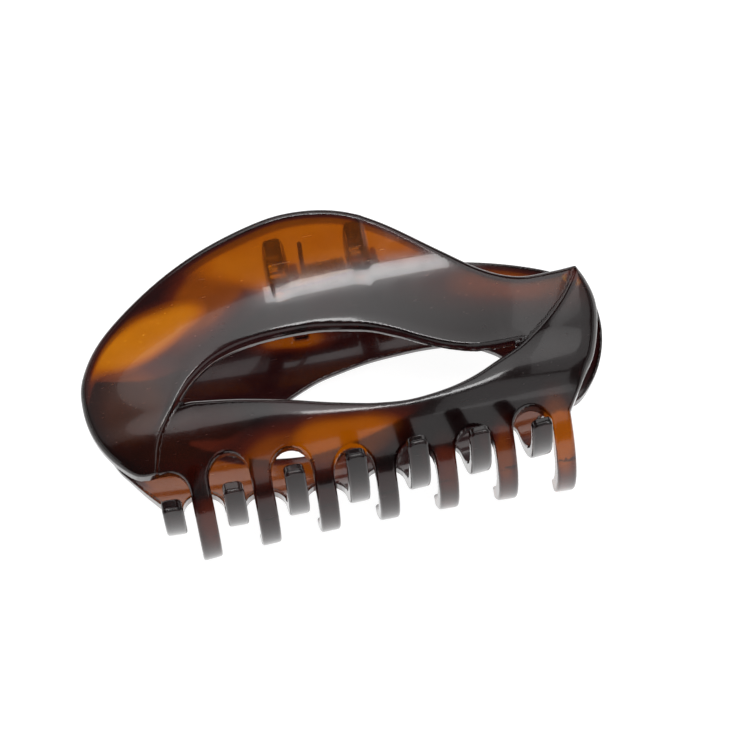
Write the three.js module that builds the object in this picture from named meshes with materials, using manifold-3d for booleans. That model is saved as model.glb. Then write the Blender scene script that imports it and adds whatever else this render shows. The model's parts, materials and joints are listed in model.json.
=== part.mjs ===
// A large claw clip: two identical hooked jaws on one steel pin, held shut by a torsion spring.
// Millimetres. The clip is drawn standing on its teeth: X along the clip, +Z from the teeth up to the grips,
// and the front jaw faces -Y. The whole clip is then laid down on its rear jaw.
import * as THREE from "three";
import { mergeVertices } from "three/addons/utils/BufferGeometryUtils.js";
import Module from "manifold-3d";

// Overall sizes of one jaw. Heights are counted from the level of the arches between the teeth.
const JAW_LENGTH = 104.6;
const GRIP_HEIGHT = 46.2;
const WALL = 3.0;
const CREASE_STEP = 0.9; // how far one band stands proud of the other where they cross
const END_SWEEP = 9.2; // how far the ends of the jaw curve back from its middle

// The hook: one round arc from the belly of the jaw to the tips of the teeth.
const HOOK_RADIUS = 23.4;
const HOOK_CENTRE_Y = 8.3;
const HOOK_CENTRE_Z = 14.1;
const TIP_REACH = 22.0; // how far past the middle plane the tips of the teeth reach

// The teeth.
const TOOTH_COUNT = 7;
const TOOTH_PITCH = 12.0;
const TOOTH_WIDTH = 4.0;
const TOOTH_TIP_WALL = 2.2;
const TIP_CORNER = 1.0;

// The grip flares outwards above the belly.
const FLARE_FROM_Z = 16.0;
const FLARE_LEAN = -0.0815;
const FLARE_RATE = 0.0105;

// The hinge.
const HINGE_BELOW_RIM = 6.2;
const PIN_RADIUS = 1.0;
const PIN_CLEARANCE = 0.3;
const PIN_CHAMFER = 0.25;
const PIN_PROUD = 0.3;
const LUG_RADIUS = 3.4;
const LUG_WIDTH = 2.8;
const LUG_GAP = 0.3;
const LUG_ROOT_LOW = 9.0; // the lug's foot on the jaw reaches this far below the hinge
const LUG_ROOT_HIGH = 3.0; // and this far above it

// The torsion spring.
const WIRE_RADIUS = 0.45;
const COIL_PLAY = 0.85; // between the pin and the inside of the coil
const COIL_TURNS = 9;
const TURN_GAP = 0.06;
const LEG_RISE = THREE.MathUtils.degToRad(15);
const SPRING_CLEARANCE = 0.3;

// Outlines of the two bands, as shares of half the length and of the grip height.
const CREASE_FOOT = [-0.776, 0.084];
const POINTED_END = [0.93, 0.625];
const GRIP_RIM = [
  CREASE_FOOT,
  [-0.853, 0.1],
  [-0.933, 0.195],
  [-0.983, 0.312],
  [-1.0, 0.444],
  [-0.98, 0.57],
  [-0.885, 0.704],
  [-0.696, 0.833],
  [-0.478, 0.93],
  [-0.239, 0.99],
  [-0.076, 1.0],
  [0.09, 0.97],
  [0.237, 0.896],
  [0.42, 0.762],
  [0.574, 0.652],
  [0.704, 0.604],
  [0.832, 0.61],
  POINTED_END,
];
const UPPER_BAND_UNDERSIDE = [
  [0.9, 0.5],
  [0.82, 0.38],
  [0.72, 0.315],
  [0.64, 0.31],
  [0.55, 0.304],
  [0.47, 0.308],
  [0.375, 0.338],
  [0.28, 0.384],
  [0.19, 0.435],
  [0.096, 0.477],
  [0, 0.501],
  [-0.1, 0.519],
  [-0.21, 0.525],
  [-0.32, 0.523],
  [-0.42, 0.509],
  [-0.503, 0.479],
  [-0.575, 0.429],
  [-0.623, 0.379],
  [-0.67, 0.316],
  [-0.725, 0.23],
  [-0.75, 0.169],
  CREASE_FOOT,
];
const LOWER_BAND_TOP = [
  [-0.85, 0.16],
  [-0.78, 0.28],
  [-0.69, 0.338],
  [-0.614, 0.35],
  [-0.553, 0.338],
  [-0.442, 0.31],
  [-0.331, 0.277],
  [-0.222, 0.242],
  [-0.113, 0.206],
  [0, 0.174],
  [0.082, 0.156],
  [0.2, 0.145],
  [0.338, 0.162],
  [0.447, 0.195],
  [0.54, 0.24],
  [0.639, 0.294],
  [0.707, 0.351],
  [0.784, 0.424],
  [0.85, 0.498],
  [0.901, 0.571],
  POINTED_END,
];
const POINTED_END_SIDE = [
  POINTED_END,
  [0.96, 0.556],
  [0.977, 0.468],
  [0.966, 0.368],
  [0.922, 0.225],
  [0.872, 0.141],
];

// How the tops of the arches rise and fall along the row of teeth.
const ARCH_TOPS = [3.8, 4.5, 2.75, 0.25, -1.0, -0.2, 1.7];
const TOOTH_ROOT_Z = -5.5;

const halfLength = JAW_LENGTH / 2;
const sweep = END_SWEEP / halfLength ** 2;
const toothRow = Array.from({ length: TOOTH_COUNT }, (_, i) => (i - 2.75) * TOOTH_PITCH);
const hingeZ = GRIP_HEIGHT - HINGE_BELOW_RIM;
const pinBore = PIN_RADIUS + PIN_CLEARANCE;
const coilRadius = PIN_RADIUS + COIL_PLAY + WIRE_RADIUS; // to the middle of the wire
const coilHalfLength = (COIL_TURNS * (2 * WIRE_RADIUS + TURN_GAP)) / 2;
const innerLugX = coilHalfLength + WIRE_RADIUS + SPRING_CLEARANCE;
const outerLugX = innerLugX + LUG_WIDTH + LUG_GAP;
const pinHalfLength = outerLugX + LUG_WIDTH + PIN_PROUD;

const wasm = await Module();
wasm.setup();

/** A closed three.js geometry as a solid; triangles that merging closes up are left out. */
function solid(geometry) {
  const bare = new THREE.BufferGeometry();
  bare.setAttribute("position", geometry.getAttribute("position"));
  bare.setIndex(geometry.index);
  const merged = mergeVertices(bare, 1e-4);
  const corners = [];
  for (let i = 0; i < merged.index.count; i += 3) {
    const [a, b, c] = merged.index.array.slice(i, i + 3);
    if (a !== b && b !== c && c !== a) {
      corners.push(a, b, c);
    }
  }
  const vertProperties = merged.attributes.position.array;
  const triVerts = new Uint32Array(corners);
  return new wasm.Manifold(new wasm.Mesh({ numProp: 3, vertProperties, triVerts }));
}

/** A solid as a three.js geometry. */
function geometryOf(made) {
  const mesh = made.getMesh();
  const geometry = new THREE.BufferGeometry();
  geometry.setAttribute("position", new THREE.BufferAttribute(new Float32Array(mesh.vertProperties), 3));
  geometry.setIndex(new THREE.BufferAttribute(new Uint32Array(mesh.triVerts), 1));
  geometry.computeVertexNormals();
  return geometry;
}

/** How far the jaw's face stands out from the middle plane at a height, at mid length. */
function faceDepth(z) {
  if (z <= FLARE_FROM_Z) {
    return Math.sqrt(HOOK_RADIUS ** 2 - (HOOK_CENTRE_Z - z) ** 2) - HOOK_CENTRE_Y;
  }
  const flareDepth = Math.sqrt(HOOK_RADIUS ** 2 - (HOOK_CENTRE_Z - FLARE_FROM_Z) ** 2) - HOOK_CENTRE_Y;
  const up = z - FLARE_FROM_Z;
  return flareDepth + FLARE_LEAN * up + FLARE_RATE * up ** 2;
}

/** A point at a depth under the jaw's face; a negative depth stands proud of it. */
function facePoint(x, z, depth) {
  const step = 0.01;
  const slope = (faceDepth(z + step) - faceDepth(z - step)) / (2 * step);
  const outwards = new THREE.Vector3(2 * sweep * x, -1, -slope).normalize();
  const face = new THREE.Vector3(x, sweep * x ** 2 - faceDepth(z), z);
  return face.addScaledVector(outwards, -depth);
}

/** How proud the upper band stands: up at the round end and down at the pointed end. */
function upperBandProud(x) {
  return (-CREASE_STEP / 2) * THREE.MathUtils.clamp(x / (0.6 * halfLength), -1, 1);
}

/** Heights of the rows of the jaw's wall, closer together round the hook. */
function wallRows() {
  const hookRows = 8;
  const flareRows = 7;
  const steepest = Math.asin((HOOK_CENTRE_Z - TOOTH_ROOT_Z + 0.5) / HOOK_RADIUS);
  const rows = [];
  for (let i = 0; i < hookRows; i++) {
    rows.push(HOOK_CENTRE_Z - HOOK_RADIUS * Math.sin(steepest * (1 - i / hookRows)));
  }
  for (let i = 0; i <= flareRows; i++) {
    rows.push(THREE.MathUtils.lerp(FLARE_FROM_Z, GRIP_HEIGHT + 2, i / flareRows));
  }
  return rows;
}

/** The whole curved wall before its outline is cut. */
function wall(proud) {
  const rows = wallRows();
  const last = rows.length - 1;
  const columns = 16;
  const box = new THREE.BoxGeometry(2, 2, last, columns, 1, last);
  const spot = box.getAttribute("position");
  for (let i = 0; i < spot.count; i++) {
    const x = spot.getX(i) * (halfLength + 2);
    const z = rows[Math.round(spot.getZ(i) + last / 2)];
    const depth = spot.getY(i) < 0 ? -proud(x) : WALL;
    const at = facePoint(x, z, depth);
    spot.setXYZ(i, at.x, at.y, at.z);
  }
  return solid(box);
}

/** Outline points in millimetres. */
function outline(shares) {
  return shares.map(([u, w]) => new THREE.Vector2(u * halfLength, w * GRIP_HEIGHT));
}

/** A prism through the jaw's wall with a band's outline. */
function outlinePrism(shape) {
  const front = HOOK_RADIUS + GRIP_HEIGHT;
  const back = END_SWEEP;
  const prism = new THREE.ExtrudeGeometry(shape, { depth: front + back, bevelEnabled: false, curveSegments: 3 });
  prism.rotateX(Math.PI / 2);
  prism.translate(0, back, 0);
  return solid(prism);
}

/** The band with the round lobe, which runs down to the pointed end. */
function upperBand() {
  const rim = outline(GRIP_RIM);
  const underside = outline(UPPER_BAND_UNDERSIDE);
  const shape = new THREE.Shape();
  shape.moveTo(rim[0].x, rim[0].y);
  shape.splineThru(rim.slice(1));
  shape.lineTo(underside[0].x, underside[0].y);
  shape.splineThru(underside.slice(1));
  return wall(upperBandProud).intersect(outlinePrism(shape));
}

/** The band that carries the teeth, with the arches between them. */
function lowerBand() {
  const top = outline(LOWER_BAND_TOP);
  const side = outline(POINTED_END_SIDE);
  const half = TOOTH_WIDTH / 2;
  const archRadius = TOOTH_PITCH / 2 - half;
  const lastTooth = toothRow[TOOTH_COUNT - 1];
  const shape = new THREE.Shape();
  shape.moveTo(top[0].x, top[0].y);
  shape.splineThru(top.slice(1));
  shape.splineThru(side.slice(1).concat(new THREE.Vector2(lastTooth + half, 0)));
  for (let i = TOOTH_COUNT - 1; i > 0; i--) {
    const centre = toothRow[i] - TOOTH_PITCH / 2;
    shape.lineTo(toothRow[i] + half, TOOTH_ROOT_Z);
    shape.lineTo(toothRow[i] - half, TOOTH_ROOT_Z);
    shape.absarc(centre, ARCH_TOPS[i] - archRadius, archRadius, 0, Math.PI, false);
  }
  shape.lineTo(toothRow[0] + half, TOOTH_ROOT_Z);
  shape.lineTo(toothRow[0] - half, TOOTH_ROOT_Z);
  shape.absarc(toothRow[0] - half - archRadius, ARCH_TOPS[0] - archRadius, archRadius, 0, Math.PI / 2, false);
  shape.lineTo(top[0].x, ARCH_TOPS[0] + 0.7);
  return wall((x) => -upperBandProud(x)).intersect(outlinePrism(shape));
}

/** One hooked tooth, from inside the lower band round to its tip. */
function tooth(x) {
  const bendRows = 11;
  const tipRows = 3;
  const last = bendRows + tipRows;
  const centreY = HOOK_CENTRE_Y + sweep * x ** 2;
  const radius = HOOK_RADIUS - upperBandProud(x);
  const rootAngle = Math.asin((HOOK_CENTRE_Z - TOOTH_ROOT_Z - 3) / radius);
  const tipAngle = Math.PI - Math.acos((TIP_REACH - centreY) / radius);
  const cornerAngle = TIP_CORNER / radius;
  const box = new THREE.BoxGeometry(TOOTH_WIDTH, 2, last, 2, 1, last);
  const spot = box.getAttribute("position");
  for (let i = 0; i < spot.count; i++) {
    const row = Math.round(last / 2 - spot.getZ(i));
    const past = Math.max(0, (row - bendRows) / tipRows);
    const bend = Math.min(1, row / bendRows);
    const angle = THREE.MathUtils.lerp(rootAngle, tipAngle - cornerAngle, bend) + past * cornerAngle;
    const narrow = TIP_CORNER * (1 - Math.sqrt(1 - (past * 0.98) ** 2));
    const thick = THREE.MathUtils.lerp(WALL, TOOTH_TIP_WALL, bend);
    const r = spot.getY(i) < 0 ? radius : radius - thick;
    const across = spot.getX(i) * (1 - narrow / (TOOTH_WIDTH / 2));
    spot.setXYZ(i, x + across, centreY - r * Math.cos(angle), HOOK_CENTRE_Z - r * Math.sin(angle));
  }
  return solid(box);
}

/** One hinge lug, a plate from the inside of the jaw to the pin. */
function lug(fromX) {
  const high = hingeZ + LUG_ROOT_HIGH;
  const low = hingeZ - LUG_ROOT_LOW;
  const shape = new THREE.Shape();
  shape.moveTo(WALL / 2 - faceDepth(high), high);
  shape.lineTo(0, hingeZ + LUG_RADIUS);
  shape.absarc(0, hingeZ, LUG_RADIUS, Math.PI / 2, -Math.PI / 2, true);
  shape.lineTo(WALL / 2 - faceDepth(low), low);
  const bore = new THREE.Path();
  bore.absarc(0, hingeZ, pinBore, 0, 2 * Math.PI, false);
  shape.holes.push(bore);
  const plate = new THREE.ExtrudeGeometry(shape, { depth: LUG_WIDTH, bevelEnabled: false, curveSegments: 8 });
  const yAxis = new THREE.Vector3(0, 1, 0);
  const zAxis = new THREE.Vector3(0, 0, 1);
  const xAxis = new THREE.Vector3(1, 0, 0);
  plate.applyMatrix4(new THREE.Matrix4().makeBasis(yAxis, zAxis, xAxis));
  plate.translate(fromX, 0, 0);
  return solid(plate);
}

/** One whole jaw, moulded in one piece. */
function jawGeometry() {
  let jaw = upperBand().add(lowerBand());
  for (const x of toothRow) {
    jaw = jaw.add(tooth(x));
  }
  jaw = jaw.add(lug(-outerLugX - LUG_WIDTH));
  jaw = jaw.add(lug(innerLugX));
  return geometryOf(jaw);
}

/** A straight pin with chamfered ends. */
function pinGeometry() {
  const profile = [
    new THREE.Vector2(0, -pinHalfLength),
    new THREE.Vector2(PIN_RADIUS - PIN_CHAMFER, -pinHalfLength),
    new THREE.Vector2(PIN_RADIUS, PIN_CHAMFER - pinHalfLength),
    new THREE.Vector2(PIN_RADIUS, pinHalfLength - PIN_CHAMFER),
    new THREE.Vector2(PIN_RADIUS - PIN_CHAMFER, pinHalfLength),
    new THREE.Vector2(0, pinHalfLength),
  ];
  const pin = new THREE.LatheGeometry(profile, 20);
  pin.rotateZ(-Math.PI / 2);
  pin.translate(0, 0, hingeZ);
  return geometryOf(solid(pin));
}

/** The line of the spring's wire: a leg in to the coil, the coil, and a leg out. */
class SpringWire extends THREE.Curve {
  constructor() {
    super();
    this.sweepAngle = 2 * Math.PI * COIL_TURNS + 2 * LEG_RISE;
    this.coilLength = coilRadius * this.sweepAngle;
    this.legLength = this.reachToWall();
    this.length = this.coilLength + 2 * this.legLength;
  }

  /** The leg ends just short of the jaw's inner face, which slopes in below the tip. */
  reachToWall() {
    let length = halfLength / 4;
    for (let i = 0; i < 8; i++) {
      const tipZ = hingeZ - coilRadius * Math.cos(LEG_RISE) + length * Math.sin(LEG_RISE);
      const face = -facePoint(-coilHalfLength, tipZ - 2 * WIRE_RADIUS, WALL).y;
      const room = face - coilRadius * Math.sin(LEG_RISE) - WIRE_RADIUS - SPRING_CLEARANCE;
      length = room / Math.cos(LEG_RISE);
    }
    return length;
  }

  onCoil(share) {
    const angle = -Math.PI / 2 - LEG_RISE + share * this.sweepAngle;
    const x = coilHalfLength * (2 * share - 1);
    return new THREE.Vector3(x, coilRadius * Math.cos(angle), hingeZ + coilRadius * Math.sin(angle));
  }

  getPoint(t, target = new THREE.Vector3()) {
    const along = t * this.length;
    if (along < this.legLength) {
      const back = new THREE.Vector3(0, -Math.cos(LEG_RISE), Math.sin(LEG_RISE));
      return target.copy(this.onCoil(0)).addScaledVector(back, this.legLength - along);
    }
    if (along > this.legLength + this.coilLength) {
      const out = new THREE.Vector3(0, Math.cos(LEG_RISE), Math.sin(LEG_RISE));
      return target.copy(this.onCoil(1)).addScaledVector(out, along - this.legLength - this.coilLength);
    }
    return target.copy(this.onCoil((along - this.legLength) / this.coilLength));
  }
}

/** The torsion spring, wound from one wire. */
function springGeometry() {
  const section = new THREE.Shape();
  section.absarc(0, 0, WIRE_RADIUS, 0, 2 * Math.PI, false);
  const path = new SpringWire();
  path.arcLengthDivisions = 2000;
  const steps = 13 * COIL_TURNS + 30;
  const wire = new THREE.ExtrudeGeometry(section, { steps, extrudePath: path, curveSegments: 3, bevelEnabled: false });
  return geometryOf(solid(wire));
}

/** A named mesh with its own finish. */
function piece(name, geometry, colour, roughness, metalness) {
  const material = new THREE.MeshStandardMaterial({ color: colour, roughness, metalness });
  const mesh = new THREE.Mesh(geometry, material);
  mesh.name = name;
  return mesh;
}

const clip = new THREE.Group();
const frontJaw = piece("front_jaw", jawGeometry(), "#7a3210", 0.18, 0);
const rearJaw = piece("rear_jaw", jawGeometry(), "#6a2a10", 0.18, 0);
rearJaw.rotation.z = Math.PI;
const hingePin = piece("hinge_pin", pinGeometry(), "#8d9096", 0.3, 1);
const torsionSpring = piece("torsion_spring", springGeometry(), "#7c7f84", 0.32, 1);
clip.add(frontJaw, rearJaw, hingePin, torsionSpring);

// The clip lies on its rear jaw, and the origin is under the middle of its box.
clip.rotation.x = -Math.PI / 2;
const claw = new THREE.Group();
claw.add(clip);
claw.updateMatrixWorld(true);
const box = new THREE.Box3().setFromObject(clip, true);
clip.position.set(-(box.min.x + box.max.x) / 2, -(box.min.y + box.max.y) / 2, -box.min.z);

export default claw;
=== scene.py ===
"""A large tortoiseshell claw clip, lying closed on its rear jaw on a pale table.

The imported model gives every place. The jaws are worked in a frame of their own, in millimetres: X along the
clip, Z from the teeth up to the grips, and the front jaw facing -Y. JawForm says where the surface of a jaw
lies, JawMoulding makes the mesh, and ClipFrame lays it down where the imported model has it.
"""

from __future__ import annotations

import json
import logging
import math
from dataclasses import dataclass
from enum import Enum
from functools import reduce
from typing import Any, Callable, Iterable, Sequence

import bmesh
import bpy
import numpy as np
from mathutils import Matrix, Vector

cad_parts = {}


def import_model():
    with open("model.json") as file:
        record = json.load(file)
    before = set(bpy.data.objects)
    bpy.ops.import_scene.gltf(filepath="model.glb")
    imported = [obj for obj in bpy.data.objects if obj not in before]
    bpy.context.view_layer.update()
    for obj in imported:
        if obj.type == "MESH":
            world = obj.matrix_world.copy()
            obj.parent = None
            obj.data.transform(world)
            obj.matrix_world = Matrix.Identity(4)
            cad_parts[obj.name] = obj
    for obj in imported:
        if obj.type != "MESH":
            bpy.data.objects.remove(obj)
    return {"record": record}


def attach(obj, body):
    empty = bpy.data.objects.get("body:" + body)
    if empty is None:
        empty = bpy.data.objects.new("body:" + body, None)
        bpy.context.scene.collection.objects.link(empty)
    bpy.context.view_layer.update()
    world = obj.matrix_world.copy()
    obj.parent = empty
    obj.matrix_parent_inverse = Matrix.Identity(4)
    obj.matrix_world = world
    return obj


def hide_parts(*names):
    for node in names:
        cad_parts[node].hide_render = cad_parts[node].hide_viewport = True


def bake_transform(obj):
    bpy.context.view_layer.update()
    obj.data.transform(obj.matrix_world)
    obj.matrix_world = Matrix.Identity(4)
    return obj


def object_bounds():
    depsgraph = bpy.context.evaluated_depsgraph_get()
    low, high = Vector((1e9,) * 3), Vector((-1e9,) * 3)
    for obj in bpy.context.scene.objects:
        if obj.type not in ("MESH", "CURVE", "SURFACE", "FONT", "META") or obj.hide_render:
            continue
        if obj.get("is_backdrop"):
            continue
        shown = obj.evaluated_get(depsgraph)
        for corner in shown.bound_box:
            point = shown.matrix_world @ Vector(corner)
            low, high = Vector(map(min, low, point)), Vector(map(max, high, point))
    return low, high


MM = 0.001
LOG = logging.getLogger("claw_clip")

Points = np.ndarray
Loop = list[tuple[float, float]]


class Side(Enum):
    """The two jaws, which are one moulding: the rear one is turned half round."""

    FRONT = "front_jaw"
    REAR = "rear_jaw"


@dataclass(frozen=True)
class JawSizes:
    """Sizes of one jaw in millimetres, with heights counted from the level of the arches.

    The teeth keep their sharper edge below the first height of tooth_to_band, and the bands have their own
    above the second. The upper band's lip fades in along lip_ends_x, and out up lip_ends_z.
    """

    length: float = 104.6
    grip_height: float = 46.2
    wall: float = 3.0
    crease_step: float = 0.9
    end_sweep: float = 9.2
    hook_radius: float = 23.4
    hook_y: float = 8.3
    hook_z: float = 14.1
    tip_reach: float = 22.0
    tooth_count: int = 7
    tooth_pitch: float = 12.0
    tooth_shift: float = 2.75
    tooth_width: float = 4.0
    tip_wall: float = 2.2
    tip_corner: float = 1.3
    root_z: float = -5.5
    root_overlap: float = 3.0
    corner_rise: float = 0.7
    hook_until: float = 12.0
    band_stop: float = 5.0
    flare_from: float = 16.0
    flare_lean: float = -0.0815
    flare_rate: float = 0.0105
    outer_edge: float = 1.25
    inner_edge: float = 0.35
    tooth_edge: float = 0.6
    lip_width: float = 3.4
    lip_roll: float = 0.035
    lip_ends_x: tuple = (-40.0, -30.0)
    lip_ends_z: tuple = (24.0, 27.0)
    tooth_to_band: tuple = (3.0, 9.0)
    crease_reach: float = 0.6
    lug_edge: float = 0.4
    lug_fillet: float = 1.4
    crease_fillet: float = 0.12


@dataclass(frozen=True)
class PaintedShadePlaces:
    """Where painted shade stands for light going a long way through the plastic, in millimetres, as the two
    ends of each ramp.

    A rim gets painted shade up to a depth inside the outline. A lug gets painted shade once it is behind the
    wall and above a height, and its top is clear again.
    """

    rim: tuple = (1.2, 2.0)
    behind_wall: tuple = (0.2, 0.8)
    lug_height: tuple = (24.0, 30.0)
    over_hinge: tuple = (-0.5, 2.0)
    top_clears: float = 0.85


@dataclass(frozen=True)
class HingeSizes:
    """Sizes of the pin, the lugs and the spring in millimetres."""

    below_rim: float = 6.2
    pin_radius: float = 1.0
    pin_clearance: float = 0.3
    pin_chamfer: float = 0.25
    pin_proud: float = 0.3
    lug_radius: float = 3.4
    lug_width: float = 2.8
    lug_gap: float = 0.3
    lug_root_low: float = 9.0
    lug_root_high: float = 3.0
    wire_radius: float = 0.45
    coil_play: float = 0.85
    coil_turns: int = 9
    turn_gap: float = 0.06
    leg_rise: float = math.radians(15)
    spring_clearance: float = 0.3

    @property
    def bore(self) -> float:
        """Radius of the hole in a lug."""
        return self.pin_radius + self.pin_clearance

    @property
    def coil_radius(self) -> float:
        """Radius of the coil, to the middle of its wire."""
        return self.pin_radius + self.coil_play + self.wire_radius

    @property
    def coil_half(self) -> float:
        """Half the length of the coil, to the middle of its end turns."""
        return self.coil_turns * (2 * self.wire_radius + self.turn_gap) / 2

    @property
    def inner_lug(self) -> float:
        """Where the inner lug starts, from the middle of the hinge."""
        return self.coil_half + self.wire_radius + self.spring_clearance

    @property
    def outer_lug(self) -> float:
        """Where the outer lug starts, from the middle of the hinge."""
        return self.inner_lug + self.lug_width + self.lug_gap

    @property
    def lug_starts(self) -> tuple[float, float]:
        """Where the jaw's two lugs start along the hinge."""
        return -self.outer_lug - self.lug_width, self.inner_lug

    @property
    def pin_half(self) -> float:
        """Half the length of the pin."""
        return self.outer_lug + self.lug_width + self.pin_proud


@dataclass(frozen=True)
class Outlines:
    """Outlines of the two bands, as shares of half the length and of the grip height."""

    crease_foot: tuple = (-0.776, 0.084)
    pointed_end: tuple = (0.93, 0.625)
    grip_rim: tuple = (
        (-0.853, 0.1), (-0.933, 0.195), (-0.983, 0.312), (-1.0, 0.444), (-0.98, 0.57), (-0.885, 0.704),
        (-0.696, 0.833), (-0.478, 0.93), (-0.239, 0.99), (-0.076, 1.0), (0.09, 0.97), (0.237, 0.896),
        (0.42, 0.762), (0.574, 0.652), (0.704, 0.604), (0.832, 0.61),
    )
    upper_underside: tuple = (
        (0.9, 0.5), (0.82, 0.38), (0.72, 0.315), (0.64, 0.31), (0.55, 0.304), (0.47, 0.308), (0.375, 0.338),
        (0.28, 0.384), (0.19, 0.435), (0.096, 0.477), (0.0, 0.501), (-0.1, 0.519), (-0.21, 0.525),
        (-0.32, 0.523), (-0.42, 0.509), (-0.503, 0.479), (-0.575, 0.429), (-0.623, 0.379), (-0.67, 0.316),
        (-0.725, 0.23), (-0.75, 0.169),
    )
    lower_top: tuple = (
        (-0.85, 0.16), (-0.78, 0.28), (-0.69, 0.338), (-0.614, 0.35), (-0.553, 0.338), (-0.442, 0.31),
        (-0.331, 0.277), (-0.222, 0.242), (-0.113, 0.206), (0.0, 0.174), (0.082, 0.156), (0.2, 0.145),
        (0.338, 0.162), (0.447, 0.195), (0.54, 0.24), (0.639, 0.294), (0.707, 0.351), (0.784, 0.424),
        (0.85, 0.498), (0.901, 0.571),
    )
    pointed_side: tuple = ((0.96, 0.556), (0.977, 0.468), (0.966, 0.368), (0.922, 0.225), (0.872, 0.141))
    arch_tops: tuple = (3.8, 4.5, 2.75, 0.25, -1.0, -0.2, 1.7)


def spline(points: Sequence[Sequence[float]], steps: int = 6) -> Loop:
    """A smooth curve through points, by uniform Catmull-Rom.

    Args:
        points: The points that the curve goes through.
        steps: How many short lines each stretch gets.

    Returns:
        The curve's points, the last one left out.
    """
    pts = [np.array(p, float) for p in points]
    last = len(pts) - 1
    curve = []
    for i in range(last):
        p0, p1, p2, p3 = pts[max(i - 1, 0)], pts[i], pts[i + 1], pts[min(i + 2, last)]
        for k in range(steps):
            t = k / steps
            v0, v1 = (p2 - p0) / 2, (p3 - p1) / 2
            at = (2 * p1 - 2 * p2 + v0 + v1) * t**3 + (-3 * p1 + 3 * p2 - 2 * v0 - v1) * t**2 + v0 * t + p1
            curve.append((float(at[0]), float(at[1])))
    return curve


def arc(centre: Sequence[float], radius: float, start: float, end: float, steps: int = 12) -> Loop:
    """Points along a round arc.

    Args:
        centre: The arc's centre.
        radius: Its radius.
        start: The angle where it starts.
        end: The angle where it ends.
        steps: How many short lines it gets.

    Returns:
        The points, both ends included.
    """
    angles = np.linspace(start, end, steps + 1)
    return [(centre[0] + radius * math.cos(a), centre[1] + radius * math.sin(a)) for a in angles]


def ramp(value: np.ndarray, low: float, high: float) -> np.ndarray:
    """0 below low, 1 above high, and smooth in between."""
    t = np.clip((value - low) / (high - low), 0, 1)
    return t * t * (3 - 2 * t)


def round_intersection(a: np.ndarray, b: np.ndarray, radius: Any) -> np.ndarray:
    """Where two signed distances are both negative, with a rounded edge between them."""
    corner = np.hypot(np.maximum(a + radius, 0), np.maximum(b + radius, 0))
    return np.minimum(np.maximum(a, b), -radius) + corner


def soft_union(a: np.ndarray, b: np.ndarray, fillet: float) -> np.ndarray:
    """Where either signed distance is negative, with a fillet between them."""
    h = np.clip(0.5 + 0.5 * (b - a) / fillet, 0, 1)
    return b * (1 - h) + a * h - fillet * h * (1 - h)


class OutlineMap:
    """Signed distance to a closed outline, kept on a fine grid."""

    spacing = 0.2
    margin = 4.0
    batch = 20000

    def __init__(self, loop: Sequence[Sequence[float]]) -> None:
        """Measures the distances once.

        Args:
            loop: The outline's points, the first one not repeated.
        """
        a = np.array(loop, float)
        b = np.roll(a, -1, axis=0)
        self.low = a.min(0) - self.margin
        count = np.ceil((a.max(0) + self.margin - self.low) / self.spacing).astype(int) + 1
        axes = [self.low[i] + self.spacing * np.arange(count[i]) for i in (0, 1)]
        u, w = np.meshgrid(*axes, indexing="ij")
        spots = np.stack([u.ravel(), w.ravel()], 1)
        signed = np.empty(len(spots))
        run = b - a
        run_squared = np.maximum((run**2).sum(1), 1e-12)
        for start in range(0, len(spots), self.batch):
            p = spots[start : start + self.batch, None, :]
            share = np.clip(((p - a) * run).sum(2) / run_squared, 0, 1)
            gap = p - a - share[..., None] * run
            nearest = np.sqrt((gap**2).sum(2).min(1))
            above = (a[:, 1] > p[..., 1]) != (b[:, 1] > p[..., 1])
            rise = np.where(np.abs(run[:, 1]) < 1e-12, 1e-12, run[:, 1])
            crossing = a[:, 0] + (p[..., 1] - a[:, 1]) * run[:, 0] / rise
            inside = (above & (p[..., 0] < crossing)).sum(1) % 2 == 1
            signed[start : start + self.batch] = np.where(inside, -nearest, nearest)
        self.grid = signed.reshape(count)

    def at(self, u: np.ndarray, w: np.ndarray) -> np.ndarray:
        """The signed distance at places, by interpolation.

        Args:
            u: First coordinates.
            w: Second coordinates.

        Returns:
            One distance for each place, negative inside.
        """
        top = np.array(self.grid.shape) - 1.001
        fu = np.clip((u - self.low[0]) / self.spacing, 0, top[0])
        fw = np.clip((w - self.low[1]) / self.spacing, 0, top[1])
        iu, iw = fu.astype(int), fw.astype(int)
        tu, tw = fu - iu, fw - iw
        g = self.grid
        low = g[iu, iw] * (1 - tu) + g[iu + 1, iw] * tu
        high = g[iu, iw + 1] * (1 - tu) + g[iu + 1, iw + 1] * tu
        return low * (1 - tw) + high * tw


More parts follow.
